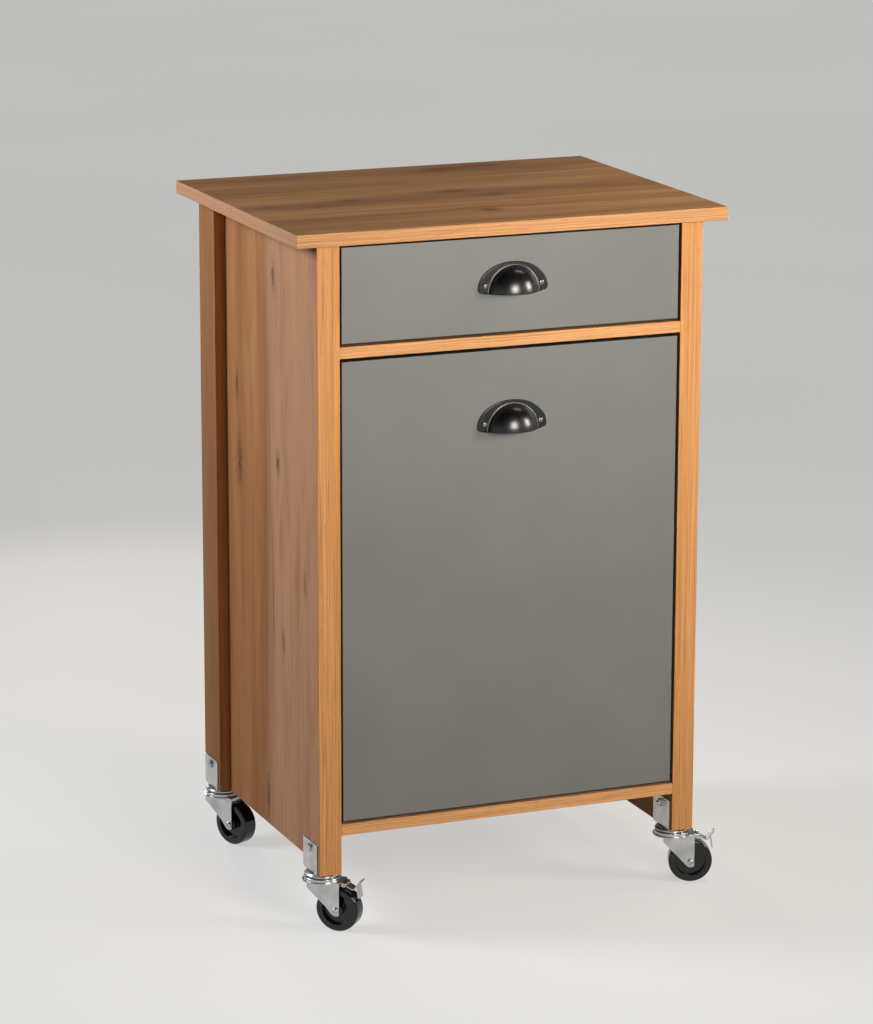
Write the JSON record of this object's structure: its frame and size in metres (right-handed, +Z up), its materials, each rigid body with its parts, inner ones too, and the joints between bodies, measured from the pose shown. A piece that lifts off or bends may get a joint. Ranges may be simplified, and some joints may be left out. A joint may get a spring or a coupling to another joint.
{
  "type": "kitchen trash cabinet",
  "caption": "Rolling kitchen trash cabinet: oak-laminate carcass and overhanging top, inset grey drawer above a tilt-out bin door, black cup pulls and swivel casters with foot brakes.",
  "frame": {"origin": "on the floor under the middle of the cabinet, on its left-right symmetry plane", "axes": "+Z up, -Y out of the drawer and door fronts, +X to the right as seen from the front"},
  "size_m": [0.596, 0.469, 0.9085],
  "materials": {
    "oak_laminate": "satin oak laminate with dark knots and cracks",
    "grey_lacquer": "matt warm grey lacquer on board",
    "inner_board": "pale melamine board",
    "hardboard": "thin brown hardboard",
    "dowel_wood": "fluted beech",
    "zinc_steel": "bright zinc-plated pressed steel",
    "runner_steel": "white powder-coated steel",
    "black_enamel": "gloss black enamel on cast metal",
    "wheel_plastic": "polished black hard plastic",
    "roller_plastic": "white nylon",
    "bin_plastic": "dark grey moulded plastic",
    "catch_plastic": "brown moulded plastic"
  },
  "bodies": {
    "cabinet": {"top_panel": "oak_laminate", "left_side_panel": "oak_laminate", "right_side_panel": "oak_laminate", "front_left_post": "oak_laminate", "front_right_post": "oak_laminate", "rear_left_post": "oak_laminate", "rear_right_post": "oak_laminate", "divider_shelf": "oak_laminate", "bottom_shelf": "oak_laminate", "back_panel": "hardboard", "carcass_dowels": "dowel_wood", "cam_fittings": "zinc_steel", "left_cabinet_runner": "runner_steel", "right_cabinet_runner": "runner_steel", "pivot_bushes": "roller_plastic", "tilt_stop_pegs": "zinc_steel", "magnetic_catch": "catch_plastic", "caster_bolts": "zinc_steel", "swivel_kingpins": "zinc_steel", "swivel_bearings": "zinc_steel", "front_left_bracket": "zinc_steel", "front_right_bracket": "zinc_steel", "rear_left_bracket": "zinc_steel", "rear_right_bracket": "zinc_steel"},
    "drawer": {"drawer_front": "grey_lacquer", "drawer_left_side": "inner_board", "drawer_right_side": "inner_board", "drawer_back": "inner_board", "drawer_bottom": "inner_board", "drawer_pull": "black_enamel", "drawer_pull_screws": "black_enamel", "left_drawer_runner": "runner_steel", "right_drawer_runner": "runner_steel"},
    "runner_front_rollers": {"runner_front_rollers": "roller_plastic"},
    "runner_rear_rollers": {"runner_rear_rollers": "roller_plastic"},
    "tilt_door": {"door_panel": "grey_lacquer", "door_pull": "black_enamel", "door_pull_screws": "black_enamel", "pivot_pins": "zinc_steel", "bin_carrier_left": "inner_board", "bin_carrier_right": "inner_board", "bin_carrier_floor": "inner_board", "bin_carrier_rail": "inner_board", "carrier_brackets": "zinc_steel", "waste_bin": "bin_plastic", "strike_plate": "zinc_steel"},
    "front_left_caster": {"front_left_fork": "zinc_steel", "front_left_axle": "zinc_steel"},
    "front_left_wheel": {"front_left_wheel": "wheel_plastic"},
    "front_left_brake": {"front_left_brake": "zinc_steel"},
    "front_right_caster": {"front_right_fork": "zinc_steel", "front_right_axle": "zinc_steel"},
    "front_right_wheel": {"front_right_wheel": "wheel_plastic"},
    "front_right_brake": {"front_right_brake": "zinc_steel"},
    "rear_left_caster": {"rear_left_fork": "zinc_steel", "rear_left_axle": "zinc_steel"},
    "rear_left_wheel": {"rear_left_wheel": "wheel_plastic"},
    "rear_right_caster": {"rear_right_fork": "zinc_steel", "rear_right_axle": "zinc_steel"},
    "rear_right_wheel": {"rear_right_wheel": "wheel_plastic"}
  },
  "joints": [
    {"name": "drawer_slide", "type": "slide", "parent": "cabinet", "child": "drawer", "axis": [0, -1, 0], "range_m": [0, 0.28]},
    {"name": "front_roller_spin", "type": "hinge", "parent": "cabinet", "child": "runner_front_rollers", "pos_m": [0, -0.1825, 0.7782], "axis": [1, 0, 0], "continuous": true},
    {"name": "rear_roller_spin", "type": "hinge", "parent": "drawer", "child": "runner_rear_rollers", "pos_m": [0, 0.1755, 0.7797], "axis": [1, 0, 0], "continuous": true},
    {"name": "door_tilt", "type": "hinge", "parent": "cabinet", "child": "tilt_door", "pos_m": [0, -0.202, 0.1575], "axis": [1, 0, 0], "range_deg": [0, 35]},
    {"name": "front_left_swivel", "type": "hinge", "parent": "cabinet", "child": "front_left_caster", "pos_m": [-0.248, -0.1815, 0.0785], "axis": [0, 0, 1], "continuous": true},
    {"name": "front_left_roll", "type": "hinge", "parent": "front_left_caster", "child": "front_left_wheel", "pos_m": [-0.23074, -0.19817, 0.029], "axis": [0.6947, 0.7193, 0], "continuous": true},
    {"name": "front_left_pedal", "type": "hinge", "parent": "front_left_caster", "child": "front_left_brake", "pos_m": [-0.2239, -0.20477, 0.0627], "axis": [0.6947, 0.7193, 0], "range_deg": [0, 9]},
    {"name": "front_right_swivel", "type": "hinge", "parent": "cabinet", "child": "front_right_caster", "pos_m": [0.248, -0.1815, 0.0785], "axis": [0, 0, 1], "continuous": true},
    {"name": "front_right_roll", "type": "hinge", "parent": "front_right_caster", "child": "front_right_wheel", "pos_m": [0.27041, -0.1901, 0.029], "axis": [0.3584, 0.9336, 0], "continuous": true},
    {"name": "front_right_pedal", "type": "hinge", "parent": "front_right_caster", "child": "front_right_brake", "pos_m": [0.27927, -0.19351, 0.0627], "axis": [0.3584, 0.9336, 0], "range_deg": [0, 9]},
    {"name": "rear_left_swivel", "type": "hinge", "parent": "cabinet", "child": "rear_left_caster", "pos_m": [-0.248, 0.2015, 0.0785], "axis": [0, 0, 1], "continuous": true},
    {"name": "rear_left_roll", "type": "hinge", "parent": "rear_left_caster", "child": "rear_left_wheel", "pos_m": [-0.23748, 0.17993, 0.029], "axis": [0.8988, 0.4384, 0], "continuous": true},
    {"name": "rear_right_swivel", "type": "hinge", "parent": "cabinet", "child": "rear_right_caster", "pos_m": [0.248, 0.2015, 0.0785], "axis": [0, 0, 1], "continuous": true},
    {"name": "rear_right_roll", "type": "hinge", "parent": "rear_right_caster", "child": "rear_right_wheel", "pos_m": [0.26278, 0.18259, 0.029], "axis": [0.788, 0.6157, 0], "continuous": true}
  ],
  "couplings": [
    {"joint": "front_roller_spin", "follows": "drawer_slide", "rad_per_m": 175.44},
    {"joint": "rear_roller_spin", "follows": "drawer_slide", "rad_per_m": 138.89}
  ]
}
